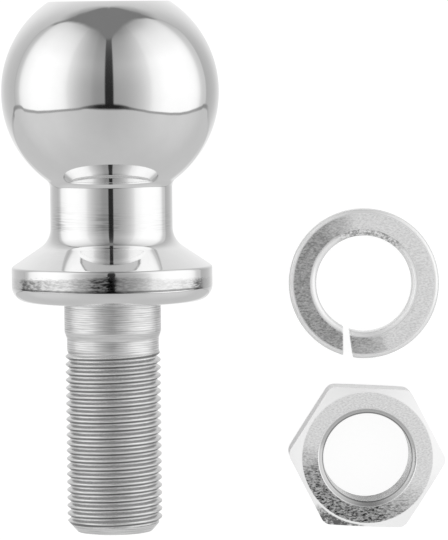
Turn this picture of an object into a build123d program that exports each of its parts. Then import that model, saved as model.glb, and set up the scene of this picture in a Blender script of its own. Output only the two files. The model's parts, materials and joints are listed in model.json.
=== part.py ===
from build123d import *
import os
from math import acos, atan2, cos, hypot, radians, sin, sqrt, tan

# A tow ball and the lock washer and nut that hold it, laid out on the surface z = 0.
# The stud lies along Y with its shank towards -Y, on its ball and on the rim of its flange.
# The washer and the nut lie on their faces to its right.
# Millimetres, +Z up, origin on the surface under the middle of the set.

# Head of the stud. Heights on the stud count from the seat, the flat underside of the flange.
ball_r = 25.0
ball_rise = 47.9                 # seat to the ball's centre
ball_flat_depth = 4.2            # taken off the ball's crown for its flat top
ball_flat_round = 0.9
neck_r = 14.05
neck_root_round = 2.2            # hollow where the ball runs into the neck
shoulder_flare = 5.3             # radius of the hollow between neck and shoulder
shoulder_slope = 34.0            # degrees that the shoulder's cone falls towards the rim
flange_r = 23.1
flange_rim_height = 7.8          # seat to the rim's upper corner
flange_top_round = 0.95
flange_bottom_round = 3.5

# Shank of the stud, from the seat to its end
shank_r = 11.1
plain_length = 7.1
step_length = 1.6                # cone from the plain shank down to the thread's blank
blank_r = 10.55
blank_length = 2.4
thread_r = 10.95                 # over the crests
thread_length = 42.2
end_chamfer_depth = 2.3
end_chamfer_length = 2.6
centre_hole_r = 2.2
centre_hole_slope = 60.0         # degrees of the centre hole's whole cone

# Split lock washer
washer_clearance = 0.1           # all round the plain shank
washer_width = 6.4               # bore to rim
washer_thickness = 4.8
washer_rise = 1.6                # how far one full turn of the coil climbs
washer_gap_angle = 7.6           # degrees of the turn that are missing at the split
washer_cut_offset = 5.0          # the ends' cutting plane passes the axis at this distance
washer_inner_round = 1.5
washer_outer_round = 1.1
washer_reaming = 0.05            # taken off the coiled bar to make its bore round

# Hex nut
nut_flats = 32.0
nut_thickness = 18.0
nut_corner_round = 2.4
nut_face_margin = 0.85           # flat to the circle where the corners' chamfer starts
nut_chamfer_slope = 30.0         # degrees that the corners fall away from the face
thread_bite = 0.75               # crest of the stud's thread to crest of the nut's thread
nut_mouth_depth = 1.3
nut_mouth_length = 0.9

# Set-out on the surface
washer_side_gap = 17.9           # rim of the flange to rim of the washer, across
washer_drop = 45.0               # centre of the ball to centre of the washer, along
nut_gap = 6.5                    # rim of the washer to flat of the nut, along
nut_turn = -3.0                  # degrees about the nut's own axis

# Sizes that follow from those above
ball_flat_height = ball_r - ball_flat_depth
ball_flat_r = sqrt(ball_r**2 - ball_flat_height**2)
neck_top = ball_rise - sqrt(ball_r**2 - neck_r**2)
shoulder_top = flange_rim_height + (flange_r - neck_r) * tan(radians(shoulder_slope))
shank_length = plain_length + step_length + blank_length + thread_length
shank_end_r = thread_r - end_chamfer_depth
washer_bore_r = shank_r + washer_clearance
washer_r = washer_bore_r + washer_width
nut_bore_r = thread_r - thread_bite
nut_face_r = nut_flats / 2 - nut_face_margin
nut_corner_r = (nut_flats / 2 - nut_corner_round) / cos(radians(30)) + nut_corner_round

# The lying stud touches the surface with its ball and with the lower round of its flange,
# so its axis falls by this angle towards the shank.
rim_circle_r = flange_r - flange_bottom_round
rim_circle_drop = ball_rise - flange_bottom_round
lie_angle = atan2(rim_circle_drop, rim_circle_r) - acos(
    (ball_r - flange_bottom_round) / hypot(rim_circle_drop, rim_circle_r)
)

# The set is centred on the origin.
reach_left = ball_r
reach_right = flange_r + washer_side_gap + washer_r + max(washer_r, nut_corner_r)
reach_back = ball_flat_height * cos(lie_angle) + ball_flat_r * sin(lie_angle)
reach_front = (ball_rise + shank_length) * cos(lie_angle) + shank_end_r * sin(lie_angle)
stud_x = (reach_left - reach_right) / 2
ball_y = (reach_front - reach_back) / 2
washer_x = stud_x + flange_r + washer_side_gap + washer_r
washer_y = ball_y - washer_drop
nut_y = washer_y - washer_r - nut_gap - nut_flats / 2

# Planes of the three pieces. The stud's sketch plane holds its axis: x is the radius and
# y the height above the seat, towards the ball.
stud_up = Vector(0, cos(lie_angle), sin(lie_angle))
ball_centre = Vector(stud_x, ball_y, ball_r)
stud_plane = Plane(
    origin=ball_centre - stud_up * ball_rise,
    x_dir=(1, 0, 0),
    z_dir=(0, -sin(lie_angle), cos(lie_angle)),
)
washer_plane = Plane((washer_x, washer_y, 0))
nut_plane = Plane((washer_x, nut_y, 0)).rotated((0, 0, nut_turn))


def corner(sketch, radius, height):
    """The sketch's corner nearest to a radius and a height."""
    return sketch.vertices().sort_by_distance((radius, height))[0]


# Ball stud: ball, neck, flange and shank, one turned forging
with BuildPart() as ball_stud:
    with BuildSketch(stud_plane) as stud_section:
        with BuildLine():
            ball_top = ball_rise + ball_flat_height
            Line((0, ball_top), (ball_flat_r, ball_top))
            ThreePointArc((ball_flat_r, ball_top), (ball_r, ball_rise), (neck_r, neck_top))
            Polyline(
                (neck_r, neck_top),
                (neck_r, shoulder_top),
                (flange_r, flange_rim_height),
                (flange_r, 0),
                (shank_r, 0),
                (shank_r, -plain_length),
                (blank_r, -plain_length - step_length),
                (blank_r, -plain_length - step_length - blank_length),
                (thread_r, -plain_length - step_length - blank_length - (thread_r - blank_r)),
                (thread_r, end_chamfer_length - shank_length),
                (shank_end_r, -shank_length),
                (0, -shank_length),
                (0, ball_top),
            )
        make_face()
        fillet(corner(stud_section, ball_flat_r, ball_top), ball_flat_round)
        fillet(corner(stud_section, neck_r, neck_top), neck_root_round)
        fillet(corner(stud_section, neck_r, shoulder_top), shoulder_flare)
        fillet(corner(stud_section, flange_r, flange_rim_height), flange_top_round)
        fillet(corner(stud_section, flange_r, 0), flange_bottom_round)
    revolve(axis=Axis(stud_plane.origin, stud_plane.y_dir))
    # Centre hole in the end of the shank, from turning between centres
    with BuildSketch(stud_plane):
        with BuildLine():
            cone_depth = centre_hole_r / tan(radians(centre_hole_slope / 2))
            Polyline(
                (0, -shank_length),
                (centre_hole_r, -shank_length),
                (0, cone_depth - shank_length),
                close=True,
            )
        make_face()
    revolve(axis=Axis(stud_plane.origin, stud_plane.y_dir), mode=Mode.SUBTRACT)
ball_stud.part.label = "ball_stud"

# Lock washer: rounded bar coiled into one left-handed turn. One slanting plane, which passes
# beside the axis, cuts both ends. The low end lies on the surface.
bar_in = sqrt((washer_bore_r - washer_reaming) ** 2 - washer_cut_offset**2)
bar_out = sqrt(washer_r**2 - washer_cut_offset**2)
bar_middle = (bar_in + bar_out) / 2
coil_turn = 1 - washer_gap_angle / 360
coil_plane = Plane(
    (washer_x, washer_y, washer_thickness / 2),
    x_dir=(-washer_cut_offset, -bar_middle, 0),
)
coil = coil_plane.location * Helix(
    pitch=washer_rise,
    height=washer_rise * coil_turn,
    radius=hypot(washer_cut_offset, bar_middle),
    lefthand=True,
)
with BuildPart() as lock_washer:
    with BuildSketch(Plane(coil @ 0, x_dir=(0, -1, 0), z_dir=(-1, 0, 0))) as bar:
        Rectangle(bar_out - bar_in, washer_thickness)
        fillet(bar.vertices().group_by(Axis.X)[0], washer_inner_round)
        fillet(bar.vertices().group_by(Axis.X)[-1], washer_outer_round)
    sweep(path=coil, is_frenet=True)
    with BuildSketch(washer_plane):
        Circle(washer_bore_r)
    extrude(amount=washer_thickness + washer_rise, mode=Mode.SUBTRACT)
lock_washer.part.label = "lock_washer"

# Hex nut, chamfered on both faces, with the mouths of its thread countersunk
with BuildPart() as hex_nut:
    with BuildSketch(nut_plane) as hexagon:
        RegularPolygon(radius=nut_flats / 2, side_count=6, major_radius=False)
        fillet(hexagon.vertices(), nut_corner_round)
    extrude(amount=nut_thickness)
    nut_axial_plane = Plane(nut_plane.origin, x_dir=nut_plane.x_dir, z_dir=-nut_plane.y_dir)
    with BuildSketch(nut_axial_plane):
        with BuildLine():
            corner_fall = (nut_corner_r - nut_face_r) * tan(radians(nut_chamfer_slope))
            Polyline(
                (0, 0),
                (nut_face_r, 0),
                (nut_corner_r, corner_fall),
                (nut_corner_r, nut_thickness - corner_fall),
                (nut_face_r, nut_thickness),
                (0, nut_thickness),
                close=True,
            )
        make_face()
    revolve(axis=Axis(nut_plane.origin, nut_plane.z_dir), mode=Mode.INTERSECT)
    with BuildSketch(nut_axial_plane):
        with BuildLine():
            Polyline(
                (0, 0),
                (nut_bore_r + nut_mouth_depth, 0),
                (nut_bore_r, nut_mouth_length),
                (nut_bore_r, nut_thickness - nut_mouth_length),
                (nut_bore_r + nut_mouth_depth, nut_thickness),
                (0, nut_thickness),
                close=True,
            )
        make_face()
    revolve(axis=Axis(nut_plane.origin, nut_plane.z_dir), mode=Mode.SUBTRACT)
hex_nut.part.label = "hex_nut"

os.makedirs("parts", exist_ok=True)
export_step(ball_stud.part, "parts/ball_stud.step")
export_step(lock_washer.part, "parts/lock_washer.step")
export_step(hex_nut.part, "parts/hex_nut.step")
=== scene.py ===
import json
from math import asin, atan2, cos, degrees, hypot, pi, radians, sin, sqrt, tan

import bpy
from mathutils import Matrix, Vector


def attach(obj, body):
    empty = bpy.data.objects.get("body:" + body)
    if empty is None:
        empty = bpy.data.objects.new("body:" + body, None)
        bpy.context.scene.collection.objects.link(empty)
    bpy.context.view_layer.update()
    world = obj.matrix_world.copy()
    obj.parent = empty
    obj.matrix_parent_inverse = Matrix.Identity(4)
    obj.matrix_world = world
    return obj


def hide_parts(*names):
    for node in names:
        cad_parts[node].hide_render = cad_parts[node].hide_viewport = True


# A chromed tow ball, laid on a pale surface beside its lock washer and its nut.
# The frame gives each piece's place. The sizes below are the pieces' own, in metres.

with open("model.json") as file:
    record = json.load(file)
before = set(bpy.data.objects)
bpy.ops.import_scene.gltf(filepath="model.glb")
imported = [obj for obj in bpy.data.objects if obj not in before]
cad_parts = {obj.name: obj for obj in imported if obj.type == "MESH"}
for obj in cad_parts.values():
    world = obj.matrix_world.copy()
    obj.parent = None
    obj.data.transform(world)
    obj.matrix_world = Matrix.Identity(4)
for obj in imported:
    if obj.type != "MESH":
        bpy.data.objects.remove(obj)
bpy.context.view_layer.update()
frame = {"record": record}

MM = 0.001
TURN_STEPS = 144                 # facets round everything that is turned or threaded
TINY = 1e-7                      # vertices of a piece nearer than this are one
SEAM = 2e-6                      # and so are those of two joined pieces nearer than this
SMOOTH_ANGLE = radians(32)       # edges that bend further than this stay sharp
NUT_SMOOTH_ANGLE = radians(25)

# Ball stud, heights counted from the seat under the flange
BALL_R = 25.0 * MM
BALL_RISE = 47.9 * MM
BALL_FLAT_DEPTH = 4.2 * MM
BALL_FLAT_ROUND = 0.9 * MM
NECK_R = 14.05 * MM
NECK_ROOT_ROUND = 2.2 * MM
SHOULDER_FLARE = 5.3 * MM
SHOULDER_SLOPE = radians(34.0)
FLANGE_R = 23.1 * MM
FLANGE_RIM_HEIGHT = 7.8 * MM
FLANGE_TOP_ROUND = 0.95 * MM
FLANGE_BOTTOM_ROUND = 3.5 * MM
SHANK_R = 11.1 * MM
PLAIN_LENGTH = 7.1 * MM
STEP_LENGTH = 1.6 * MM
BLANK_R = 10.55 * MM
BLANK_LENGTH = 2.4 * MM
THREAD_R = 10.95 * MM
THREAD_LENGTH = 42.2 * MM
END_CHAMFER_DEPTH = 2.3 * MM
END_CHAMFER_LENGTH = 2.6 * MM
CENTRE_HOLE_R = 2.2 * MM
CENTRE_HOLE_SLOPE = radians(60.0)
SHANK_ROOT_ROUND = 0.25 * MM
STEP_ROUND = 0.8 * MM

# Thread, 14 to the inch
PITCH = 25.4 * MM / 14
STUD_THREAD_DEPTH = 0.86 * MM
STUD_THREAD_LIFT = 0.5 * MM      # sets where round the stud its thread starts
NUT_THREAD_DEPTH = 0.95 * MM
WINDING_SPARE = 4 * PITCH        # wound past the two ends of a thread, and trimmed off again
# Half a pitch of its profile, from crest to root: share of the pitch, share of the depth
THREAD_WAVE = (
    (0.0, 0.0), (0.05, 0.01), (0.09, 0.05), (0.14, 0.17), (0.36, 0.83), (0.41, 0.95), (0.45, 0.99),
    (0.5, 1.0),
)

# Heights on the shank
THREAD_TOP = -PLAIN_LENGTH - STEP_LENGTH - BLANK_LENGTH
THREAD_JOIN = THREAD_TOP + 0.4 * MM                          # the turned outline meets the thread
SHANK_END = THREAD_TOP - THREAD_LENGTH
THREAD_START = SHANK_END - 1.5 * PITCH + STUD_THREAD_LIFT    # first crest, before trimming

# Lock washer
WASHER_BORE_R = 11.2 * MM
WASHER_R = 17.6 * MM
WASHER_THICKNESS = 4.8 * MM
WASHER_RISE = 1.6 * MM
WASHER_GAP_ANGLE = radians(7.6)
WASHER_CUT_OFFSET = 5.0 * MM
WASHER_INNER_ROUND = 1.5 * MM
WASHER_OUTER_ROUND = 1.1 * MM
WASHER_CUT_ROUND = 0.2 * MM      # round the two cut ends
WASHER_CUT_BEND = radians(60)    # their edges are the only ones that bend further

# Hex nut
NUT_FLATS = 32.0 * MM
NUT_THICKNESS = 18.0 * MM
NUT_CORNER_ROUND = 2.4 * MM
NUT_FACE_R = 15.15 * MM
NUT_CHAMFER_SLOPE = radians(30.0)
NUT_BORE_R = 10.2 * MM
NUT_MOUTH_R = 11.5 * MM
NUT_MOUTH_LENGTH = 0.9 * MM
NUT_MOUTH_EDGE = 0.12 * MM       # height of the mouth's rounded edge
NUT_MOUTH_ROUND = 0.18 * MM
NUT_FACE_ROUND = 0.8 * MM        # where the face turns into the corners' chamfer
NUT_TURN = radians(-3.0)
HALF_FLAT = 30                   # degrees, half of what one flat takes up
CUT_STEP = 6                     # degrees from one cut to the next as the sides are made

# Places from the frame
mounts = {m["name"]: m for m in frame["record"]["mounts"]}
BALL_CENTRE = Vector(mounts["coupling_ball"]["pos_m"])
STUD_UP = Vector(mounts["coupling_ball"]["axis"]).normalized()
LIE_ANGLE = asin(STUD_UP.z)
SEAT_CENTRE = BALL_CENTRE - STUD_UP * BALL_RISE
STUD_TURN = (LIE_ANGLE - pi / 2, 0.0, 0.0)
WASHER_CENTRE = Vector(mounts["washer_bore"]["pos_m"])
NUT_CENTRE = Vector(mounts["nut_thread"]["pos_m"])


# Outlines, as lists of (radius, height)


def arc(centre, radius, start, end, step=5.0):
    """Points along an arc, angles in degrees from the outward direction."""
    count = max(2, round(abs(end - start) / step))
    angles = [radians(start + (end - start) * i / count) for i in range(count + 1)]
    return [(centre[0] + radius * cos(a), centre[1] + radius * sin(a)) for a in angles]


def rounded(corners, step=8.0):
    """An outline through corners (radius, height, round), each rounded by an arc of that radius."""
    out = []
    for i, (radius, height, size) in enumerate(corners):
        here = Vector((radius, height))
        if not size:
            out.append((radius, height))
            continue
        before, after = ((Vector(corners[k][:2]) - here).normalized() for k in (i - 1, i + 1))
        half = before.angle(after) / 2
        centre = here + (before + after).normalized() * size / sin(half)
        start, end = (here + side * size / tan(half) - centre for side in (before, after))
        start_angle = degrees(atan2(start.y, start.x))
        turn = (degrees(atan2(end.y, end.x)) - start_angle + 180) % 360 - 180
        out += arc(centre, size, start_angle, start_angle + turn, step)
    return out


def with_guards(points, reach=0.25 * MM, long_run=1.2 * MM):
    """The outline with a point near each end of its long straight runs, so that they shade flat."""
    out = [points[0]]
    for a, b in zip(points, points[1:]):
        run = hypot(b[0] - a[0], b[1] - a[1])
        if run > long_run:
            part = reach / run
            for k in (part, 1 - part):
                out.append((a[0] + (b[0] - a[0]) * k, a[1] + (b[1] - a[1]) * k))
        out.append(b)
    return out


def stud_outline():
    """From the middle of the ball's flat top down to the thread's blank."""
    flat = BALL_R - BALL_FLAT_DEPTH
    top_round_r = sqrt((BALL_R - BALL_FLAT_ROUND) ** 2 - (flat - BALL_FLAT_ROUND) ** 2)
    top_round_end = degrees(atan2(flat - BALL_FLAT_ROUND, top_round_r))
    root_r = NECK_R + NECK_ROOT_ROUND
    root_drop = sqrt((BALL_R + NECK_ROOT_ROUND) ** 2 - root_r**2)
    root_angle = degrees(atan2(root_drop, root_r))
    shoulder_top = FLANGE_RIM_HEIGHT + (FLANGE_R - NECK_R) * tan(SHOULDER_SLOPE)
    return with_guards(
        [(0.0, BALL_RISE + flat)]
        + arc((top_round_r, BALL_RISE + flat - BALL_FLAT_ROUND), BALL_FLAT_ROUND, 90, top_round_end)
        + arc((0.0, BALL_RISE), BALL_R, top_round_end, -root_angle, step=2.5)[1:]
        + arc((root_r, BALL_RISE - root_drop), NECK_ROOT_ROUND, 180 - root_angle, 180)[1:-1]
        + rounded(
            [
                (NECK_R, BALL_RISE - root_drop, 0),
                (NECK_R, shoulder_top, SHOULDER_FLARE),
                (FLANGE_R, FLANGE_RIM_HEIGHT, FLANGE_TOP_ROUND),
                (FLANGE_R, 0.0, FLANGE_BOTTOM_ROUND),
                (SHANK_R, 0.0, SHANK_ROOT_ROUND),
                (SHANK_R, -PLAIN_LENGTH, STEP_ROUND),
                (BLANK_R, -PLAIN_LENGTH - STEP_LENGTH, STEP_ROUND),
                (BLANK_R, THREAD_JOIN, 0),
            ],
            step=5.0,
        )
    )


def thread_outline(crest_r, depth, low, length):
    """A thread's profile up from a height: rounded crests, straight flanks, rounded roots.

    A negative depth gives a nut's thread, whose roots lie outside its crests.
    """
    one_pitch = list(THREAD_WAVE) + [(1 - t, d) for t, d in reversed(THREAD_WAVE[1:-1])]
    turns = round(length / PITCH)
    points = [
        (crest_r - depth * d, low + (turn + t) * PITCH)
        for turn in range(turns)
        for t, d in one_pitch
    ]
    return points + [(crest_r, low + turns * PITCH)]


# Modelling steps


def pick(*pieces):
    """Selects these pieces and no others, and makes the first one active."""
    bpy.ops.object.select_all(action="DESELECT")
    for piece in pieces:
        piece.select_set(True)
    bpy.context.view_layer.objects.active = pieces[0]


def merge(reach=TINY):
    """Merges the vertices in edit mode that lie within the reach of one another."""
    bpy.ops.mesh.select_all(action="SELECT")
    bpy.ops.mesh.remove_doubles(threshold=reach)


def face_outwards():
    bpy.ops.mesh.select_all(action="SELECT")
    bpy.ops.mesh.normals_make_consistent(inside=False)


def new_point(name, start):
    """A new piece in edit mode that is one vertex: a small plane merged into its middle."""
    bpy.ops.object.select_all(action="DESELECT")
    bpy.ops.mesh.primitive_plane_add(size=MM, enter_editmode=True, location=(0, 0, 0))
    piece = bpy.context.object
    piece.name = name
    bpy.ops.mesh.merge(type="CENTER")
    bpy.ops.transform.translate(value=start)
    return piece


def draw(places):
    """Extrudes the selected vertex from place to place."""
    for here, there in zip(places, places[1:]):
        step = [b - a for a, b in zip(here, there)]
        bpy.ops.mesh.extrude_region_move(TRANSFORM_OT_translate={"value": step})


def drawn(name, outline):
    """A piece in edit mode that is an outline, drawn in the XZ plane."""
    places = [(r, 0.0, h) for r, h in outline]
    piece = new_point(name, places[0])
    draw(places)
    return piece


def turned(name, outline):
    """A piece turned from an outline about the Z axis."""
    piece = drawn(name, outline)
    bpy.ops.mesh.select_all(action="SELECT")
    bpy.ops.mesh.spin(steps=TURN_STEPS, angle=2 * pi, center=(0, 0, 0), axis=(0, 0, 1))
    merge()
    bpy.ops.object.mode_set(mode="OBJECT")
    return piece


def wound(piece, angle, climb):
    """Winds the outline of a piece in edit mode round the Z axis while it climbs."""
    bpy.ops.object.mode_set(mode="OBJECT")
    winding = piece.modifiers.new("Winding", "SCREW")
    winding.axis = "Z"
    winding.angle = angle
    winding.screw_offset = climb
    winding.steps = winding.render_steps = TURN_STEPS
    winding.iterations = 1
    winding.use_merge_vertices = False
    bpy.ops.object.modifier_apply(modifier=winding.name)
    return piece


def threaded(name, outline, trim):
    """A right-hand thread wound from its outline. trim(radius, height) says where a point ends up."""
    piece = wound(drawn(name, outline), 2 * pi, PITCH)
    for vertex in piece.data.vertices:
        x, y, height = vertex.co
        radius = hypot(x, y)
        cut_radius, cut_height = trim(radius, height)
        vertex.co = (x * cut_radius / radius, y * cut_radius / radius, cut_height)
    return piece


def made_one(name, *pieces):
    """Joins pieces that meet vertex to vertex into one closed piece with its faces outwards."""
    pick(*pieces)
    bpy.ops.object.join()
    piece = bpy.context.object
    piece.name = piece.data.name = name
    bpy.ops.object.mode_set(mode="EDIT")
    merge(SEAM)
    bpy.ops.mesh.dissolve_degenerate(threshold=TINY)
    face_outwards()
    bpy.ops.object.mode_set(mode="OBJECT")
    return piece


def placed(piece, location, rotation):
    """Turns and moves the finished piece to its place and leaves its object at the origin."""
    pick(piece)
    piece.rotation_euler = rotation
    piece.location = location
    bpy.ops.object.transform_apply(location=True, rotation=True, scale=True)
    return piece


def smooth(piece, angle):
    pick(piece)
    bpy.ops.object.shade_smooth_by_angle(angle=angle)


def finish(piece, *materials):
    piece.data.materials.clear()
    for material in materials:
        piece.data.materials.append(material)


# Ball stud

# A facet belongs to the rim if its middle lies outside the one, and to the chrome if it lies
# above the other.
RIM_FROM_R = FLANGE_R - 0.02 * MM
CHROME_FROM_HEIGHT = 0.01 * MM


def stud_thread_trim(radius, height):
    """Runs the thread out into its blank above and cuts the end chamfer below."""
    run_out = min(max((THREAD_TOP - height) / PITCH, 0.0), 1.0)
    grown = run_out * run_out * (3 - 2 * run_out)
    radius = BLANK_R + (radius - BLANK_R) * grown
    height = min(max(height, SHANK_END), THREAD_JOIN)
    chamfer_r = THREAD_R - END_CHAMFER_DEPTH * (1 - (height - SHANK_END) / END_CHAMFER_LENGTH)
    return min(radius, chamfer_r), height


def stud_zone(centre):
    """Which of the stud's finishes a face takes: 0 mirror chrome, 1 turned rim, 2 satin shank."""
    if hypot(centre.x, centre.y) > RIM_FROM_R and 0 < centre.z < FLANGE_RIM_HEIGHT:
        return 1
    return 0 if centre.z > CHROME_FROM_HEIGHT else 2


def make_ball_stud():
    body = turned("ball_stud_body", stud_outline())
    profile = thread_outline(THREAD_R, STUD_THREAD_DEPTH, THREAD_START, THREAD_LENGTH + WINDING_SPARE)
    thread = threaded("ball_stud_thread", profile, stud_thread_trim)
    hole_depth = CENTRE_HOLE_R / tan(CENTRE_HOLE_SLOPE / 2)
    end_face = turned(
        "ball_stud_end",
        [
            (THREAD_R - END_CHAMFER_DEPTH, SHANK_END),
            (CENTRE_HOLE_R, SHANK_END),
            (0.0, SHANK_END + hole_depth),
        ],
    )
    stud = made_one("ball_stud_finished", body, thread, end_face)
    finish(stud, make_mirror_chrome(), make_turned_rim(), make_satin_shank())
    for face in stud.data.polygons:
        face.material_index = stud_zone(face.center)
    smooth(stud, SMOOTH_ANGLE)
    return placed(stud, SEAT_CENTRE, STUD_TURN)


# Lock washer


def washer_section():
    """The bar's rounded section as (distance out along the cut, height), round once."""
    near = sqrt(WASHER_BORE_R**2 - WASHER_CUT_OFFSET**2)
    far = sqrt(WASHER_R**2 - WASHER_CUT_OFFSET**2)
    inner, outer, top = WASHER_INNER_ROUND, WASHER_OUTER_ROUND, WASHER_THICKNESS
    section = []
    for centre, radius, start in (
        ((near + inner, inner), inner, 180),
        ((far - outer, outer), outer, 270),
        ((far - outer, top - outer), outer, 0),
        ((near + inner, top - inner), inner, 90),
    ):
        section += arc(centre, radius, start, start + 90, step=11.25)
    return with_guards(section + [(near, inner)])


def make_lock_washer():
    places = [(-WASHER_CUT_OFFSET, -out, height) for out, height in washer_section()]
    washer = new_point("lock_washer_finished", places[0])
    draw(places)
    turn = 2 * pi - WASHER_GAP_ANGLE
    wound(washer, -turn, WASHER_RISE * turn / (2 * pi))
    bpy.ops.object.mode_set(mode="EDIT")
    merge()
    bpy.ops.mesh.select_all(action="SELECT")
    bpy.ops.mesh.fill_holes(sides=0)
    face_outwards()
    bpy.ops.mesh.select_all(action="DESELECT")
    bpy.ops.mesh.edges_select_sharp(sharpness=WASHER_CUT_BEND)
    bpy.ops.mesh.bevel(offset=WASHER_CUT_ROUND, segments=3, affect="EDGES")
    bpy.ops.object.mode_set(mode="OBJECT")
    finish(washer, make_zinc("zinc_washer", WASHER_CENTRE, WASHER_PLATE, washer_clean_parts))
    smooth(washer, SMOOTH_ANGLE)
    return placed(washer, (WASHER_CENTRE.x, WASHER_CENTRE.y, 0.0), (0.0, 0.0, 0.0))


# Hex nut


def mouth_r(from_face):
    """Radius of the nut's countersunk mouths at a depth below their face."""
    return NUT_MOUTH_R - (NUT_MOUTH_R - NUT_BORE_R) * from_face / NUT_MOUTH_LENGTH


def nut_thread_trim(radius, height):
    """Opens the thread's mouths and cuts it off where their rounded edges start."""
    height = min(max(height, NUT_MOUTH_EDGE), NUT_THICKNESS - NUT_MOUTH_EDGE)
    return max(radius, mouth_r(min(height, NUT_THICKNESS - height))), height


def nut_blank_outline():
    """The nut's outside as turned, from mouth to mouth."""
    corner_r = NUT_FLATS / 2 / cos(radians(HALF_FLAT))
    fall = (corner_r - NUT_FACE_R) * tan(NUT_CHAMFER_SLOPE)
    upper = [
        (mouth_r(NUT_MOUTH_EDGE), NUT_THICKNESS - NUT_MOUTH_EDGE, 0),
        (NUT_MOUTH_R, NUT_THICKNESS, NUT_MOUTH_ROUND),
        (NUT_FACE_R, NUT_THICKNESS, NUT_FACE_ROUND),
        (corner_r, NUT_THICKNESS - fall, 0),
    ]
    lower = [(radius, NUT_THICKNESS - height, size) for radius, height, size in reversed(upper)]
    return rounded(upper + lower)


def cut_sides():
    """Cuts the six flats and the rounds between them from the turned blank in edit mode."""
    round_centre_r = (NUT_FLATS / 2 - NUT_CORNER_ROUND) / cos(radians(HALF_FLAT))
    for turn in range(0, 360, CUT_STEP):
        off_corner = radians((turn + HALF_FLAT) % (2 * HALF_FLAT) - HALF_FLAT)
        outward = (cos(radians(turn)), sin(radians(turn)), 0.0)
        reach = round_centre_r * cos(off_corner) + NUT_CORNER_ROUND
        bpy.ops.mesh.select_all(action="SELECT")
        bpy.ops.mesh.bisect(
            plane_co=[c * reach for c in outward],
            plane_no=outward,
            use_fill=True,
            clear_outer=True,
            threshold=TINY,
        )


def make_hex_nut():
    blank = turned("hex_nut_blank", nut_blank_outline())
    bpy.ops.object.mode_set(mode="EDIT")
    cut_sides()
    bpy.ops.object.mode_set(mode="OBJECT")
    low, length = -WINDING_SPARE / 2, NUT_THICKNESS + WINDING_SPARE
    profile = thread_outline(NUT_BORE_R, -NUT_THREAD_DEPTH, low, length)
    thread = threaded("hex_nut_thread", profile, nut_thread_trim)
    nut = made_one("hex_nut_finished", blank, thread)
    finish(nut, make_zinc("zinc_nut", NUT_CENTRE, NUT_PLATE, nut_clean_parts))
    smooth(nut, NUT_SMOOTH_ANGLE)
    level_flats = nut.modifiers.new("Level flats", "WEIGHTED_NORMAL")
    level_flats.keep_sharp = True
    bpy.ops.object.modifier_apply(modifier=level_flats.name)
    return placed(nut, (NUT_CENTRE.x, NUT_CENTRE.y, 0.0), (0.0, 0.0, NUT_TURN))


# Shader helpers


def node(tree, kind, inputs=None, **settings):
    """A node of the tree with its settings, and its inputs given as values or as sockets to link."""
    made = tree.nodes.new(kind)
    for name, value in settings.items():
        setattr(made, name, value)
    for name, value in (inputs or {}).items():
        if isinstance(value, bpy.types.NodeSocket):
            tree.links.new(value, made.inputs[name])
        else:
            made.inputs[name].default_value = value
    return made


def maths(tree, operation, *values):
    return node(tree, "ShaderNodeMath", dict(enumerate(values)), operation=operation).outputs[0]


def vector_maths(tree, operation, a, b):
    return node(tree, "ShaderNodeVectorMath", {0: a, 1: b}, operation=operation).outputs


def plus(tree, a, b):
    return maths(tree, "ADD", a, b)


def minus(tree, a, b):
    return maths(tree, "SUBTRACT", a, b)


def times(tree, a, b):
    return maths(tree, "MULTIPLY", a, b)


def swing(tree, value, reach):
    """A value that lies about 0.5 as one that lies about 0, spread over the reach."""
    return times(tree, minus(tree, value, 0.5), reach)


def curve(tree, value, points):
    """Value looked up on a smooth curve through points."""
    low, high = points[0][0], points[-1][0]
    sockets = {"Value": value, "From Min": low, "From Max": high}
    share = node(tree, "ShaderNodeMapRange", sockets).outputs[0]
    looked_up = node(tree, "ShaderNodeFloatCurve", {"Value": share})
    looked_up.mapping.use_clip = False
    line = looked_up.mapping.curves[0]
    places = [((x - low) / (high - low), y) for x, y in points]
    line.points[0].location, line.points[1].location = places[0], places[-1]
    for place in places[1:-1]:
        line.points.new(*place)
    for point in line.points:
        point.handle_type = "AUTO_CLAMPED"
    looked_up.mapping.update()
    return looked_up.outputs[0]


def ramp(tree, value, low, high, start=0.0, end=1.0):
    """Value run smoothly from start at low to end at high."""
    sockets = {"Value": value, "From Min": low, "From Max": high, "To Min": start, "To Max": end}
    return node(tree, "ShaderNodeMapRange", sockets, interpolation_type="SMOOTHSTEP").outputs[0]


def past(tree, value, blur):
    """0 where value is negative and 1 where it is positive, blurred to both sides of zero."""
    return ramp(tree, value, -blur, blur)


def blend(tree, factor, a, b):
    sockets = {"Factor": factor, "A": a, "B": b}
    return node(tree, "ShaderNodeMix", sockets, data_type="FLOAT").outputs[0]


def mixed_shaders(tree, factor, a, b):
    return node(tree, "ShaderNodeMixShader", {0: factor, 1: a.outputs[0], 2: b.outputs[0]})


def noise(tree, vector, scale, detail=2.0, roughness=0.5):
    sockets = {"Vector": vector, "Scale": scale, "Detail": detail, "Roughness": roughness}
    return node(tree, "ShaderNodeTexNoise", sockets).outputs[0]


def apart(tree, vector):
    """A vector's three parts."""
    return node(tree, "ShaderNodeSeparateXYZ", {0: vector}).outputs


def in_mm(tree, length):
    return times(tree, length, 1 / MM)


def off_axis(tree, vector):
    """How far a point lies from the Z axis, in mm, and how far round it, in radians."""
    x, y, _ = apart(tree, vector)
    squares = [times(tree, part, part) for part in (x, y)]
    return in_mm(tree, maths(tree, "SQRT", plus(tree, *squares))), maths(tree, "ARCTAN2", y, x)


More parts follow.
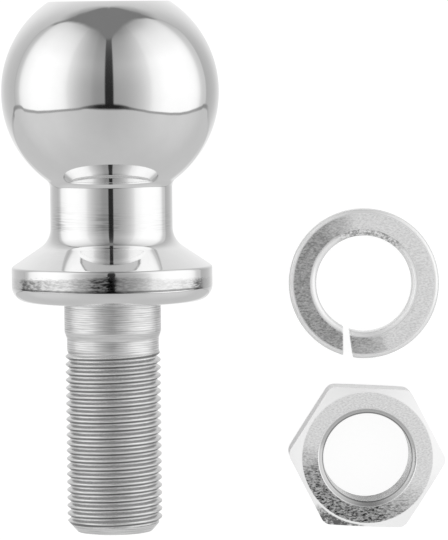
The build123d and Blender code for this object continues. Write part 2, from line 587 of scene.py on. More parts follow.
def new_group(name, inputs, outputs):
    """A shader group with its input and output sockets. An input is (name, start value or None)."""
    group = bpy.data.node_groups.new(name, "ShaderNodeTree")
    for label, value in inputs:
        kind = "NodeSocketVector" if value is None else "NodeSocketFloat"
        socket = group.interface.new_socket(label, in_out="INPUT", socket_type=kind)
        if value is not None:
            socket.default_value = value
    for label in outputs:
        group.interface.new_socket(label, in_out="OUTPUT", socket_type="NodeSocketFloat")
    return group, node(group, "NodeGroupInput").outputs, node(group, "NodeGroupOutput").inputs


def placed_group(tree, group, vector, **values):
    sockets = {"Vector": vector} | {name.replace("_", " "): value for name, value in values.items()}
    return node(tree, "ShaderNodeGroup", sockets, node_tree=group).outputs


# The studio as the metal sees it, by direction: two tall soft boxes with a dark slit between
# them, a grey ceiling, a pale table with a dark far edge, and a pale wall behind.
# Its levels and edges are points (degrees, value), its blurs and reaches are degrees. Side is
# counted round the stud's axis from its front, height from its cross-section, and turn from
# its front.

BOXES_BY_SIDE = (
    (-180, 0.50), (-119, 0.52), (-108, 0.85), (-98, 1.02), (-76, 1.10), (-56, 1.04), (-42, 0.74),
    (-32, 0.54), (-20, 0.39), (-6, 0.29), (6, 0.35), (18, 0.41), (32, 0.55), (43, 0.75), (54, 1.0),
    (76, 1.10), (98, 1.07), (110, 0.91), (120, 0.62), (180, 0.50),
)
BOXES_BY_HEIGHT = (
    (-20, 0.95), (10, 1.0), (24, 1.0), (40, 0.89), (50, 0.79), (58, 0.66), (66, 0.45), (72, 0.33),
    (90, 0.2),
)
INNER_GLOW = 0.07                # what their inner sides gain towards their tops
INNER_GLOW_HEIGHTS = (2, 32)
INNER_GLOW_SIDES = (34, 54)
BOX_TOP_BY_SIDE = (
    (-180, 40.0), (-116, 46.0), (-108, 53.0), (-100, 59.5), (-90, 63.5), (-75, 67.0), (-55, 68.5),
    (-34, 68.2), (-18, 65.2), (-8, 60.5), (-3, 58.0), (4, 58.5), (10, 62.5), (18, 66.3), (34, 70.5),
    (58, 72.5), (76, 72.0), (90, 70.0), (100, 66.0), (108, 62.0), (116, 55.0), (180, 45.0),
)
BOX_TOP_BLUR = 2.5
SLIT_SIDE = 0.8
SLIT_WIDTH_BY_HEIGHT = ((-20, 4.6), (52, 4.5), (58, 5.0), (62, 6.5), (70, 14.0), (90, 30.0))
SLIT_BY_HEIGHT = (
    (-20, 0.02), (20, 0.035), (40, 0.06), (50, 0.09), (62, 0.14), (70, 0.18), (90, 0.20),
)
SLIT_BLUR = 1.0
CEILING_LEVEL = 0.20
WALL_BY_TURN = (
    (90, 0.45), (122, 0.47), (134, 0.51), (144, 0.57), (154, 0.67), (168, 0.79), (182, 0.86),
    (225, 1.0),
)
WALL_LIFT = 45.0                 # degrees of turn that the wall gains at a steepness of one
WALL_LOSS_RIGHT = 0.09
WALL_MIDDLE_SIDE = 3.0
WALL_FROM_BY_HEIGHT = (
    (-20, 121.5), (30, 121.5), (40, 119.5), (48, 117.0), (54, 113.0), (58, 111.0), (62, 110.5),
    (66, 114.0), (70, 117.0), (74, 125.0), (78, 152.0), (80, 178.0), (90, 200.0),
)
WALL_BLUR = 2.2
OVERHEAD = (80, 87)              # heights over which the front closes round the top
OVERHEAD_REACH = 6
CEILING_SHADE = 0.6              # what the ceiling leaves of the wall's side next to it
CEILING_SHADE_HEIGHTS = (50, 64)
CEILING_SHADE_REACH = 12
WALL_CORNER = 0.86               # what the wall keeps in the corner where it starts
WALL_CORNER_REACH = (0.3, 1.8)
TABLE_LEVEL = 0.54
TABLE_NEAR_HEIGHTS = (-70, -22)  # from below the stud to where TABLE_BY_SIDE holds
TABLE_BY_SIDE = (
    (0, 0.48), (20, 0.52), (42, 0.585), (66, 0.65), (90, 0.65), (108, 0.61), (124, 0.56), (180, 0.58),
)
TABLE_END_TURNS = (148, 164)     # over which it gives way to the wall
TABLE_EDGE_BY_SIDE = (
    (-180, -14.0), (-150, -13.5), (-135, -12.0), (-126, -10.3), (-119.5, -8.2), (-105, -11.0),
    (-90, -13.8), (-74, -15.6), (-50, -16.2), (-30, -15.4), (-10, -14.3), (8, -14.7), (24, -16.4),
    (40, -18.3), (58, -19.4), (76, -18.6), (90, -16.6), (105, -12.9), (118, -9.8), (127, -8.2),
    (134, -10.3), (145, -12.0), (180, -14.0),
)
TABLE_EDGE_BLUR = 1.0
EDGE_HALF_HEIGHT_BY_SIDE = ((0, 3.6), (8, 3.3), (20, 2.2), (34, 1.4), (180, 1.3))
EDGE_BY_SIDE = (
    (0, 0.015), (10, 0.02), (18, 0.07), (26, 0.18), (36, 0.28), (66, 0.36), (100, 0.36),
    (124, 0.27), (131, 0.38), (138, 0.48), (150, 0.55), (180, 0.60),
)
EDGE_FADE = (0.35, 1.3)          # over these shares of its half height it fades out
LEAST = 0.001                    # keeps a division finite


def studio_boxes(tree, side, height):
    """The two soft boxes, brightest towards their outer sides, and the slit between them."""
    boxes = times(tree, curve(tree, side, BOXES_BY_SIDE), curve(tree, height, BOXES_BY_HEIGHT))
    inner = ramp(tree, maths(tree, "ABSOLUTE", side), *INNER_GLOW_SIDES, 1, 0)
    glow = times(tree, ramp(tree, height, *INNER_GLOW_HEIGHTS, 0, INNER_GLOW), inner)
    off_slit = maths(tree, "ABSOLUTE", minus(tree, side, SLIT_SIDE))
    past_slit = minus(tree, off_slit, curve(tree, height, SLIT_WIDTH_BY_HEIGHT))
    slit = curve(tree, height, SLIT_BY_HEIGHT)
    return blend(tree, past(tree, past_slit, SLIT_BLUR), slit, plus(tree, boxes, glow))


def studio_front(tree, side, height):
    """The soft boxes with the ceiling over them."""
    above_boxes = minus(tree, height, curve(tree, side, BOX_TOP_BY_SIDE))
    boxes = studio_boxes(tree, side, height)
    return blend(tree, past(tree, above_boxes, BOX_TOP_BLUR), boxes, CEILING_LEVEL)


def studio_wall(tree, turn, across, up, forward):
    """The wall behind: pale in the middle, darker to the sides and a little to the right."""
    sideways = maths(tree, "SQRT", minus(tree, 1.0, times(tree, forward, forward)))
    steep = maths(tree, "DIVIDE", up, maths(tree, "MAXIMUM", sideways, LEAST))
    lifted = times(tree, times(tree, steep, steep), WALL_LIFT)
    wall = curve(tree, plus(tree, turn, lifted), WALL_BY_TURN)
    return times(tree, wall, minus(tree, 1.0, times(tree, across, WALL_LOSS_RIGHT)))


def studio_around(tree, side, height, up, wall):
    """Everything above the table: the front, and past its edge the wall, shaded along that edge."""
    level = maths(tree, "SQRT", minus(tree, 1.0, times(tree, up, up)))
    off_middle = maths(tree, "ABSOLUTE", minus(tree, side, WALL_MIDDLE_SIDE))
    past_front = minus(tree, off_middle, curve(tree, height, WALL_FROM_BY_HEIGHT))
    past_front = times(tree, past_front, level)
    past_front = minus(tree, past_front, ramp(tree, height, *OVERHEAD, 0, OVERHEAD_REACH))
    shade = ramp(tree, past_front, 0, CEILING_SHADE_REACH, CEILING_SHADE, 1.0)
    shade = blend(tree, ramp(tree, height, *CEILING_SHADE_HEIGHTS), 1.0, shade)
    corner = ramp(tree, maths(tree, "ABSOLUTE", past_front), *WALL_CORNER_REACH, WALL_CORNER, 1.0)
    shaded_wall = times(tree, times(tree, wall, shade), corner)
    front = studio_front(tree, side, height)
    return blend(tree, past(tree, past_front, WALL_BLUR), front, shaded_wall)


def studio_level(tree):
    """Brightness of the studio in the direction of a reflected ray."""
    direction = node(tree, "ShaderNodeTexCoord").outputs["Generated"]
    right = Vector((1, 0, 0))
    across, up, forward = (
        vector_maths(tree, "DOT_PRODUCT", direction, axis)["Value"]
        for axis in (right, STUD_UP, right.cross(STUD_UP))
    )
    side = times(tree, maths(tree, "ARCTAN2", across, forward), 180 / pi)
    height = times(tree, maths(tree, "ARCSINE", up), 180 / pi)
    turn = times(tree, maths(tree, "ARCCOSINE", forward), 180 / pi)
    off_front = maths(tree, "ABSOLUTE", side)
    wall = studio_wall(tree, turn, across, up, forward)
    around = studio_around(tree, side, height, up, wall)

    by_side = curve(tree, off_front, TABLE_BY_SIDE)
    table = blend(tree, ramp(tree, height, *TABLE_NEAR_HEIGHTS), TABLE_LEVEL, by_side)
    table = blend(tree, ramp(tree, turn, *TABLE_END_TURNS), table, wall)
    past_edge = minus(tree, height, curve(tree, side, TABLE_EDGE_BY_SIDE))
    studio = blend(tree, past(tree, past_edge, TABLE_EDGE_BLUR), table, around)
    half_height = curve(tree, off_front, EDGE_HALF_HEIGHT_BY_SIDE)
    off_edge = maths(tree, "DIVIDE", maths(tree, "ABSOLUTE", past_edge), half_height)
    edge = curve(tree, off_front, EDGE_BY_SIDE)
    return blend(tree, ramp(tree, off_edge, *EDGE_FADE), edge, studio)


def make_world():
    """White light on every matt surface, and the studio in every reflection."""
    world = bpy.data.worlds.new("studio")
    bpy.context.scene.world = world
    world.cycles.sampling_method = "NONE"
    world.use_nodes = True
    tree = world.node_tree
    tree.nodes.clear()
    rays = node(tree, "ShaderNodeLightPath").outputs
    plain, gloss = (
        node(tree, "ShaderNodeBackground", {"Color": (1, 1, 1, 1), "Strength": strength})
        for strength in (1.0, studio_level(tree))
    )
    seen = mixed_shaders(tree, rays["Is Glossy Ray"], plain, gloss)
    node(tree, "ShaderNodeOutputWorld", {"Surface": seen.outputs[0]})


FLOOR_SIZE = 6.0
FLOOR_GREY = 0.22
FLOOR_GLOW = 0.88


def make_floor():
    """A pale table top that shows nearly white and keeps the pieces' soft shadow."""
    bpy.ops.object.select_all(action="DESELECT")
    bpy.ops.mesh.primitive_plane_add(size=FLOOR_SIZE, location=(0, 0, 0))
    floor = bpy.context.object
    floor.name = "floor"
    floor.visible_glossy = False
    material = bpy.data.materials.new("pale_table")
    material.use_nodes = True
    tree = material.node_tree
    tree.nodes.clear()
    paint = node(tree, "ShaderNodeBsdfDiffuse", {"Color": (FLOOR_GREY, FLOOR_GREY, FLOOR_GREY, 1)})
    glow = node(tree, "ShaderNodeEmission", {"Color": (1, 1, 1, 1), "Strength": FLOOR_GLOW})
    both = node(tree, "ShaderNodeAddShader", {0: paint.outputs[0], 1: glow.outputs[0]})
    rays = node(tree, "ShaderNodeLightPath").outputs
    shown = mixed_shaders(tree, rays["Is Camera Ray"], paint, both)
    node(tree, "ShaderNodeOutputMaterial", {"Surface": shown.outputs[0]})
    floor.data.materials.append(material)


# Camera: the ball's centre and the picture's scale there, as the photograph shows them

PICTURE_W, PICTURE_H = 448, 540
BALL_AT = (110.0, 91.9)          # pixels
FOCAL = 3826.0                   # pixels
DISTANCE = 0.8777                # lens to the ball's centre, along the view
VIEW_RISE = radians(3.78)        # view above the stud's cross-section plane
VIEW_ROLL = radians(0.56)
SENSOR_HEIGHT = 36.0


def make_camera():
    tilt = VIEW_RISE - LIE_ANGLE
    back = Vector((0, sin(tilt), cos(tilt)))
    level_up = Vector((0, cos(tilt), -sin(tilt)))
    level_right = Vector((1, 0, 0))
    right = level_right * cos(VIEW_ROLL) - level_up * sin(VIEW_ROLL)
    up = level_right * sin(VIEW_ROLL) + level_up * cos(VIEW_ROLL)
    aside = (BALL_AT[0] - PICTURE_W / 2) / FOCAL * DISTANCE
    above = (PICTURE_H / 2 - BALL_AT[1]) / FOCAL * DISTANCE
    place = BALL_CENTRE - right * aside - up * above + back * DISTANCE
    lens = bpy.data.cameras.new("camera")
    lens.sensor_fit = "VERTICAL"
    lens.sensor_height = SENSOR_HEIGHT
    lens.lens = FOCAL / PICTURE_H * SENSOR_HEIGHT
    camera = bpy.data.objects.new("camera", lens)
    bpy.context.scene.collection.objects.link(camera)
    camera.matrix_world = Matrix((
        (right.x, up.x, back.x, place.x),
        (right.y, up.y, back.y, place.y),
        (right.z, up.z, back.z, place.z),
        (0, 0, 0, 1),
    ))
    bpy.context.scene.camera = camera


# Shader groups that the finishes share. A pair of numbers, here and in the finishes, says
# between which two values something comes in or goes out, or what it runs from and to.

DRIFT_PER_M = 160.0              # how finely the turned rings wander
PATCHES_PER_M = (200.0, 200.0, 1300.0)    # across, back, up
STREAK_SLANT = radians(-55)      # of the zinc's streaks
STREAK_STRETCH = (0.45, 1.0, 1.0)
PITS_PER_GRAIN = 0.6
PIT_RIM = (0.38, 0.64)
CLOUDS_PER_M = 180.0
CREST_END = (0.06, 0.2)          # shares of a thread's depth
ROOT_START = (0.8, 0.96)
UNDER_FLANK = (0.47, 0.53)       # shares of its pitch


def lathe_marks():
    """Rings that a turning tool leaves round the Z axis: they wander, and fade on their way round."""
    group, given, result = new_group(
        "lathe_marks",
        (("Vector", None), ("Rings per mm", 2.5), ("Marks per m", 130.0), ("Wander mm", 0.1)),
        ("Rings", "Patches"),
    )
    x, y, z = apart(group, given["Vector"])
    wander = times(group, given["Wander mm"], 2.0)
    drift = swing(group, noise(group, given["Vector"], DRIFT_PER_M, detail=1.0), wander)
    across, back = (times(group, part, given["Marks per m"]) for part in (x, y))
    rings_at = times(group, plus(group, in_mm(group, z), drift), given["Rings per mm"])
    ring_place = node(group, "ShaderNodeCombineXYZ", {0: across, 1: back, 2: rings_at}).outputs[0]
    rings = noise(group, ring_place, 1.0, roughness=0.6)
    patch_place = vector_maths(group, "MULTIPLY", given["Vector"], PATCHES_PER_M)["Vector"]
    patches = noise(group, patch_place, 1.0)
    group.links.new(rings, result["Rings"])
    group.links.new(patches, result["Patches"])
    return group


def plated_grain():
    """Zinc over a rough surface: fine slanting streaks, dark pits, and large soft clouds."""
    group, given, result = new_group(
        "plated_grain", (("Vector", None), ("Grain mm", 0.35)), ("Grain", "Pits", "Clouds")
    )
    per_metre = maths(group, "DIVIDE", 1 / MM, given["Grain mm"])
    sockets = {"Vector": given["Vector"], "Rotation": (0, 0, STREAK_SLANT), "Scale": STREAK_STRETCH}
    slanted = node(group, "ShaderNodeMapping", sockets).outputs[0]
    grain = noise(group, slanted, per_metre, roughness=0.6)
    pits_per_metre = times(group, per_metre, PITS_PER_GRAIN)
    pits = noise(group, slanted, pits_per_metre, detail=4.0, roughness=0.75)
    clouds = noise(group, given["Vector"], CLOUDS_PER_M, detail=3.0, roughness=0.6)
    group.links.new(grain, result["Grain"])
    group.links.new(ramp(group, pits, *PIT_RIM), result["Pits"])
    group.links.new(clouds, result["Clouds"])
    return group


def round_the_axis():
    """How far a point lies from the Z axis, and how far round from the bright side, 0 to 1."""
    inputs = (("Vector", None), ("Bright side", 0.0))
    group, given, result = new_group("round_the_axis", inputs, ("Radius mm", "Away"))
    radius, turn = off_axis(group, given["Vector"])
    along = maths(group, "COSINE", minus(group, turn, given["Bright side"]))
    group.links.new(radius, result["Radius mm"])
    group.links.new(minus(group, 0.5, times(group, along, 0.5)), result["Away"])
    return group


def thread_flanks():
    """Which of a thread's faces are flanks, and which of those lie under their crest."""
    group, given, result = new_group(
        "thread_flanks",
        (("Vector", None), ("Crest mm", 11.0), ("Root mm", 10.0), ("Start mm", 0.0)),
        ("Flank", "Under"),
    )
    radius, turn = off_axis(group, given["Vector"])
    span = minus(group, given["Root mm"], given["Crest mm"])
    depth = maths(group, "DIVIDE", minus(group, radius, given["Crest mm"]), span)
    flank = times(group, ramp(group, depth, *CREST_END), ramp(group, depth, *ROOT_START, 1.0, 0.0))
    climbed = minus(group, in_mm(group, apart(group, given["Vector"])[2]), given["Start mm"])
    pitches = maths(group, "DIVIDE", climbed, PITCH / MM)
    wound_on = maths(group, "DIVIDE", turn, 2 * pi)
    phase = maths(group, "FRACT", minus(group, pitches, wound_on))
    group.links.new(flank, result["Flank"])
    group.links.new(ramp(group, phase, *UNDER_FLANK), result["Under"])
    return group


LATHE_MARKS = lathe_marks()
THREAD_FLANKS = thread_flanks()
PLATED_GRAIN = plated_grain()
ROUND_THE_AXIS = round_the_axis()


# Finishes. Heights, widths and radii in their tables are mm of the piece's own.

NOISE_MOST = (0.2, 0.8)          # nearly the whole range of a noise
NOISE_MIDDLE = (0.3, 0.7)


def new_metal(name, centre, turn=(0.0, 0.0, 0.0)):
    """A metal's material, its shader's inputs, and the piece's own coordinates about a centre."""
    material = bpy.data.materials.new(name)
    material.use_nodes = True
    tree = material.node_tree
    shader = tree.nodes["Principled BSDF"]
    shader.inputs["Metallic"].default_value = 1.0
    sockets = {
        "Vector": node(tree, "ShaderNodeTexCoord").outputs["Object"],
        "Location": centre,
        "Rotation": turn,
    }
    own = node(tree, "ShaderNodeMapping", sockets, vector_type="TEXTURE").outputs[0]
    return material, tree, shader, own


def feed(tree, shader, colour, roughness, height, relief):
    """Links a grey, a roughness, and a height that reaches over the relief's distance."""
    tree.links.new(colour, shader.inputs["Base Color"])
    tree.links.new(roughness, shader.inputs["Roughness"])
    bump = node(tree, "ShaderNodeBump", {"Height": height, "Distance": relief})
    tree.links.new(bump.outputs[0], shader.inputs["Normal"])


HAZE_PER_M = 400.0
HAZE_GREYS = (0.94, 0.92)
HAZE_ROUGHNESS = (0.035, 0.055)
NECK_RINGS = (0.42, 0.62)
NECK_RELIEF = 0.012 * MM
# How strong the neck's rings are by height, and how far they darken it as painted reflection from its left
# to its right, most where the neck mirrors the slit and the soft boxes' outer edges
NECK_MARKS_BY_HEIGHT = (
    (8, 0.0), (13, 0.1), (16.2, 0.2), (16.7, 0.9), (18, 1.0), (20, 0.8), (21.5, 0.3), (26, 0.0),
    (30, 0.0),
)
NECK_PAINTED_REFLECTION_ACROSS = (
    (-25, 0.0), (-14, 0.05), (-12.6, 0.14), (-11.4, 0.30), (-9.8, 0.10), (-7, 0.06), (-4, 0.08),
    (-2, 0.30), (1.4, 0.26), (3, 0.05), (9, 0.03), (11, 0.08), (12.4, 0.10), (14, 0.03), (25, 0.0),
)


def make_mirror_chrome():
    """Polished chrome with a breath of polishing haze, and faint turned rings down the neck, darkened
    across it by painted reflection.
    """
    material, tree, shader, own = new_metal("mirror_chrome", SEAT_CENTRE, STUD_TURN)
    marks = placed_group(tree, LATHE_MARKS, own, Rings_per_mm=3.0, Marks_per_m=160.0, Wander_mm=0.10)
    side, _, up = apart(tree, own)
    on_neck = curve(tree, in_mm(tree, up), NECK_MARKS_BY_HEIGHT)
    # painted reflection: how much the turned rings darken the neck is set from left to right, strongest
    # where it mirrors the slit and the soft boxes' outer edges
    neck_painted_reflection = curve(tree, in_mm(tree, side), NECK_PAINTED_REFLECTION_ACROSS)
    streaks = times(tree, ramp(tree, marks["Rings"], *NECK_RINGS), on_neck)
    haze = noise(tree, own, HAZE_PER_M, detail=3.0)
    feed(
        tree,
        shader,
        minus(tree, ramp(tree, haze, *NOISE_MOST, *HAZE_GREYS), times(tree, streaks, neck_painted_reflection)),
        ramp(tree, haze, *NOISE_MIDDLE, *HAZE_ROUGHNESS),
        times(tree, marks["Rings"], on_neck),
        NECK_RELIEF,
    )
    return material


RIM_GREY = 0.93
RIM_ROUGHNESS = (0.04, 0.09)     # polished, marked
RIM_RINGS = (0.36, 0.62)
RIM_RAGGED = 2.0                 # mm that the marks' upper end runs up and down
RIM_MARKS_BLUR = 0.3
RIM_BETWEEN = 0.45               # share of the painted reflection's darkening kept between the marks
RIM_RELIEF = 0.02 * MM
RIM_SHADE_LINE = 0.45                  # what the painted shade line along the rim's lower edge keeps of the grey
RIM_SHADE_LINE_TOP = (3.55, 3.75)
RIM_SHADE_LINE_ENDS = (19.5, 21.5)
# How high the rim's marks reach, and how much painted reflection darkens them, from its left to its right:
# most where the rim mirrors the slit and the soft boxes' outer edges
RIM_MARKS_TOP_ACROSS = (
    (-23.1, 5.6), (-20, 5.7), (-10, 6.2), (-3, 6.6), (3, 6.7), (14, 5.8), (23.1, 5.5),
)
RIM_PAINTED_REFLECTION_ACROSS = (
    (-23.1, 0.08), (-21, 0.12), (-20.2, 0.56), (-19, 0.68), (-17, 0.66), (-15, 0.54), (-12, 0.38),
    (-7, 0.36), (-4.8, 0.42), (-3.4, 0.78), (-1.4, 0.90), (1.2, 0.80), (2.2, 0.56), (6, 0.32),
    (12, 0.20), (18, 0.32), (19.4, 0.56), (20.2, 0.72), (21, 0.24), (23.1, 0.05),
)


def make_turned_rim():
    """The flange's rim: a polished upper edge over short hatched tool marks darkened by painted
    reflection, and painted shade along its lower edge.
    """
    material, tree, shader, own = new_metal("turned_rim", SEAT_CENTRE, STUD_TURN)
    marks = placed_group(tree, LATHE_MARKS, own, Rings_per_mm=2.6, Marks_per_m=700.0, Wander_mm=0.5)
    side, _, up = apart(tree, own)
    side, height = in_mm(tree, side), in_mm(tree, up)
    ragged = swing(tree, marks["Rings"], RIM_RAGGED)
    below_top = minus(tree, curve(tree, side, RIM_MARKS_TOP_ACROSS), plus(tree, height, ragged))
    marked = past(tree, below_top, RIM_MARKS_BLUR)
    # painted reflection: the marks darken the rim most where it mirrors the slit and the boxes' outer
    # edges
    painted_reflection = curve(tree, plus(tree, side, ragged), RIM_PAINTED_REFLECTION_ACROSS)
    streaks = ramp(tree, marks["Rings"], *RIM_RINGS)
    painted_darkening = times(tree, painted_reflection, blend(tree, streaks, RIM_BETWEEN, 1.0))
    clean = minus(tree, RIM_GREY, times(tree, painted_darkening, marked))
    # painted shade: a dark line along the rim's lower edge that fades out towards its left and right ends
    line = ramp(tree, maths(tree, "ABSOLUTE", side), *RIM_SHADE_LINE_ENDS, RIM_SHADE_LINE, 1.0)
    line = blend(tree, ramp(tree, height, *RIM_SHADE_LINE_TOP), line, 1.0)
    feed(
        tree,
        shader,
        times(tree, clean, line),
        blend(tree, marked, *RIM_ROUGHNESS),
        times(tree, marks["Rings"], marked),
        RIM_RELIEF,
    )
    return material


SHANK_GREY = 0.80
SHANK_STREAKS = 0.7              # how far its streaks swing the grey
SHANK_LINES = (0.12, 0.05)       # how far its fine lines do: where it is plain, where threaded
SHANK_FEED = 0.5                 # mm that the turning tool moved on each turn
SHANK_WANDER = 7.0               # radians that its lines wander
SHANK_ROUGHNESS = (0.30, 0.38)
SHANK_METAL = (0.84, 0.74)       # plain, threaded
SHANK_RELIEF = 0.006 * MM
OFF_STEP = (0.6, 0.9)            # from the middle of the step, which has no lines
INTO_THREAD = (-0.9, -0.3)       # from the thread's top
THREAD_ROUGHNESS = 0.26
# Greys of the thread's flanks: the upper ones near the steel's, the ones under their crests made dark as
# painted shade
UPPER_FLANK_GREY = 0.76
UNDER_FLANK_SHADE_GREY = 0.20


def make_satin_shank():
    """The shank: satin turned steel above, and below it the rolled thread with its duller flanks, those
    under their crests darkened by painted shade.
    """
    material, tree, shader, own = new_metal("satin_shank", SEAT_CENTRE, STUD_TURN)
    marks = placed_group(tree, LATHE_MARKS, own, Rings_per_mm=4.4, Marks_per_m=170.0, Wander_mm=0.04)
    crest, root, start = (
        length / MM for length in (THREAD_R, THREAD_R - STUD_THREAD_DEPTH, THREAD_START)
    )
    flank, under = placed_group(tree, THREAD_FLANKS, own, Crest_mm=crest, Root_mm=root, Start_mm=start)
    height = in_mm(tree, apart(tree, own)[2])
    threaded_here = ramp(tree, minus(tree, height, THREAD_TOP / MM), *INTO_THREAD, 1.0, 0.0)
    flank = times(tree, flank, threaded_here)
    off_step = maths(tree, "ABSOLUTE", plus(tree, height, (PLAIN_LENGTH + STEP_LENGTH / 2) / MM))
    lined = times(tree, ramp(tree, off_step, *OFF_STEP), blend(tree, threaded_here, *SHANK_LINES))
    wander = times(tree, marks["Patches"], SHANK_WANDER)
    lines = maths(tree, "SINE", plus(tree, times(tree, height, 2 * pi / SHANK_FEED), wander))
    bright = plus(tree, SHANK_GREY, swing(tree, marks["Rings"], SHANK_STREAKS))
    bright = plus(tree, bright, times(tree, lines, lined))
    rough = ramp(tree, marks["Patches"], *NOISE_MIDDLE, *SHANK_ROUGHNESS)
    tree.links.new(blend(tree, threaded_here, *SHANK_METAL), shader.inputs["Metallic"])
    # painted shade on the thread's flanks that lie under their crests
    feed(
        tree,
        shader,
        blend(tree, flank, bright, blend(tree, under, UPPER_FLANK_GREY, UNDER_FLANK_SHADE_GREY)),
        blend(tree, threaded_here, rough, THREAD_ROUGHNESS),
        marks["Rings"],
        SHANK_RELIEF,
    )
    return material


# Zinc plate with a grey grain, bright on one side of a piece and darkened by painted shade on the other,
# where its pits show too. Degrees of the bright side, shares of the way round from it over which the
# painted shade comes in, what the painted shade and the pits in it take off the brightness, and mm of
# grain.
WASHER_PLATE = {"bright_side": 15, "painted_shade_from": (0.38, 0.76), "painted_shade_loss": 0.16, "pitting": 0.34, "grain": 0.27}
NUT_PLATE = {"bright_side": 65, "painted_shade_from": (0.50, 0.98), "painted_shade_loss": 0.10, "pitting": 0.85, "grain": 0.25}
ZINC_GREY = 0.92
ZINC_GRAIN = 0.85                # how far the grain swings the grey
ZINC_METAL = (0.46, 0.90)        # bright side, painted-shade side
ZINC_ROUGHNESS = (0.46, 0.25)    # plate, clean parts
ZINC_RELIEF = 0.03 * MM
GRAIN_HEIGHT = 0.25              # shares of the relief
SHADE_EDGE_WAVERS = 0.4            # share of the way round by which the painted shade's edge wavers


def make_zinc(name, centre, plate, clean_parts):
    """Zinc plate, darkened by painted shade on the side away from its bright side. clean_parts(tree, own,
    radius) gives where it is clean, and its grey and metal there.
    """
    material, tree, shader, own = new_metal(name, (centre.x, centre.y, 0.0))
    grain, pits, clouds = placed_group(tree, PLATED_GRAIN, own, Grain_mm=plate["grain"])
    radius, away = placed_group(tree, ROUND_THE_AXIS, own, Bright_side=radians(plate["bright_side"]))
    clean, grey, metal = clean_parts(tree, own, radius)
    # painted shade: the side away from the bright side is made darker and more metallic, with its pits
    # only there
    shaded_side = ramp(tree, plus(tree, away, swing(tree, clouds, SHADE_EDGE_WAVERS)), *plate["painted_shade_from"])
    shade_and_pit_loss = blend(tree, pits, plate["painted_shade_loss"], plate["painted_shade_loss"] + plate["pitting"])
    colour = minus(tree, ZINC_GREY, times(tree, shaded_side, shade_and_pit_loss))
    colour = minus(tree, colour, swing(tree, grain, ZINC_GRAIN))
    height = minus(tree, times(tree, grain, GRAIN_HEIGHT), times(tree, pits, shaded_side))
    height = times(tree, height, minus(tree, 1.0, clean))
    metal = blend(tree, clean, blend(tree, shaded_side, *ZINC_METAL), metal)
    tree.links.new(metal, shader.inputs["Metallic"])
    colour = blend(tree, clean, colour, grey)
    feed(tree, shader, colour, blend(tree, clean, *ZINC_ROUGHNESS), height, ZINC_RELIEF)
    return material


EDGE_BLUR = 0.15                 # mm from the washer's top to its rounded edges
EDGE_GREY = 0.98
EDGE_METAL = 0.45
STREAKS_SIDE = radians(80)       # where round the washer its edge is streaked
STREAKS_REACH = (0.03, 0.16)
STREAKS_PER_M = 1500.0
STREAKS = (0.42, 0.60)
STREAKS_LOSS = 0.6


def washer_clean_parts(tree, own, radius):
    """The washer's rounded edges, with a few dark streaks inside its top."""
    inner = (WASHER_BORE_R + WASHER_INNER_ROUND) / MM
    outer = (WASHER_R - WASHER_OUTER_ROUND) / MM
    inside = past(tree, minus(tree, inner, radius), EDGE_BLUR)
    edges = plus(tree, inside, past(tree, minus(tree, radius, outer), EDGE_BLUR))
    off_top = placed_group(tree, ROUND_THE_AXIS, own, Bright_side=STREAKS_SIDE)["Away"]
    streaked = times(tree, inside, ramp(tree, off_top, *STREAKS_REACH, 1.0, 0.0))
    streaks = noise(tree, own, STREAKS_PER_M, detail=3.0, roughness=0.7)
    streaks = times(tree, streaked, ramp(tree, streaks, *STREAKS))
    return edges, minus(tree, EDGE_GREY, times(tree, streaks, STREAKS_LOSS)), EDGE_METAL


# Greys of the bore and its countersunk mouths by radius, in mm: pale crests, painted shade just past them
# and in the roots, and a painted highlight on the mouths' rounded edges
BORE_SHADE_AND_HIGHLIGHT_BY_RADIUS = (
    (10.0, 0.95), (10.22, 0.95), (10.34, 0.30), (10.5, 0.30), (10.62, 0.66), (11.15, 0.60),
    (11.3, 0.7), (11.42, 1.0), (12.0, 1.0),
)
MOUTH_END = (-0.1, 0.15)         # mm past the mouth's radius
CHAMFER_START = (-0.1, 0.1)      # mm past the face's radius
CHAMFER_UNDER = (0.15, 0.35)     # mm below the chamfer, where the flats take over
CORNERS_FROM = (12.0, 14.0)      # mm, between the mouths and the corners
CORNERS_KEEP = 0.96
NUT_METAL = (0.85, 0.15)         # mouths, corners
CORNER_SPECKLE_PER_M = 900.0
CORNER_SPECKLE = (0.35, 0.55)
CORNER_SPECKLE_LOSS = (0.25, 0.85)
SPECKLED_CORNERS_SIDE = (0.955, 0.985)    # shares of the way round from the bright side
SPECKLED_CORNERS_FROM = (0.35, 0.7)       # mm past the face's radius


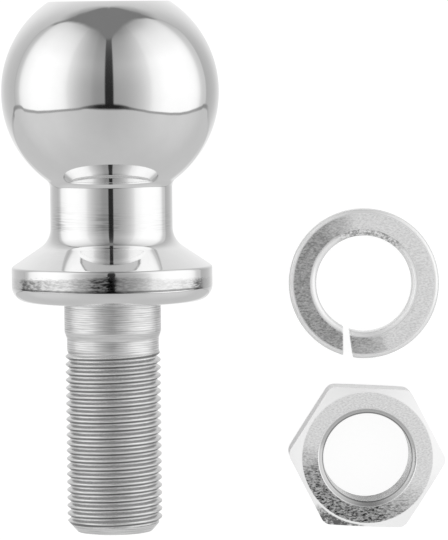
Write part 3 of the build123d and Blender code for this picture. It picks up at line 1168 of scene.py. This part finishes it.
def nut_clean_parts(tree, own, radius):
    """The nut's chamfered corners outside its two faces, and the rings of its mouths and bore inside them,
    with painted shade and a painted highlight.
    """
    past_mouth = minus(tree, radius, NUT_MOUTH_R / MM)
    past_face = minus(tree, radius, NUT_FACE_R / MM)
    height = in_mm(tree, apart(tree, own)[2])
    from_face = maths(tree, "MINIMUM", height, minus(tree, NUT_THICKNESS / MM, height))
    below_chamfer = minus(tree, from_face, times(tree, past_face, tan(NUT_CHAMFER_SLOPE)))
    mouth = ramp(tree, past_mouth, *MOUTH_END, 1.0, 0.0)
    corners = ramp(tree, below_chamfer, *CHAMFER_UNDER, 1.0, 0.0)
    corners = times(tree, corners, ramp(tree, past_face, *CHAMFER_START))
    bright_side = radians(NUT_PLATE["bright_side"])
    away = placed_group(tree, ROUND_THE_AXIS, own, Bright_side=bright_side)["Away"]
    # darker speckle on the chamfered corners opposite the bright side
    corner_speckle = noise(tree, own, CORNER_SPECKLE_PER_M, detail=4.0, roughness=0.7)
    corner_speckle = ramp(tree, corner_speckle, *CORNER_SPECKLE, *CORNER_SPECKLE_LOSS)
    speckled_corners = times(tree, ramp(tree, away, *SPECKLED_CORNERS_SIDE), ramp(tree, past_face, *SPECKLED_CORNERS_FROM))
    speckled_corners = times(tree, times(tree, speckled_corners, corner_speckle), corners)
    # painted shade in the bore's rings and roots, and a painted highlight on the mouths' rounded edges
    grey = curve(tree, radius, BORE_SHADE_AND_HIGHLIGHT_BY_RADIUS)
    grey = times(tree, grey, ramp(tree, radius, *CORNERS_FROM, 1.0, CORNERS_KEEP))
    metal = ramp(tree, radius, *CORNERS_FROM, *NUT_METAL)
    return plus(tree, mouth, corners), minus(tree, grey, speckled_corners), metal


make_camera()
make_world()
make_floor()

for make, cad_node, slot_name in (
    (make_ball_stud, "ball_stud", "chromed_steel"),
    (make_lock_washer, "lock_washer", "zinc_washer"),
    (make_hex_nut, "hex_nut", "zinc_nut"),
):
    piece = make()
    # The photograph doesn't show the washer and the nut in the chrome.
    piece.visible_glossy = cad_node == "ball_stud"
    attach(piece, "root")
    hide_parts(cad_node)

bpy.context.scene.view_settings.view_transform = "Standard"
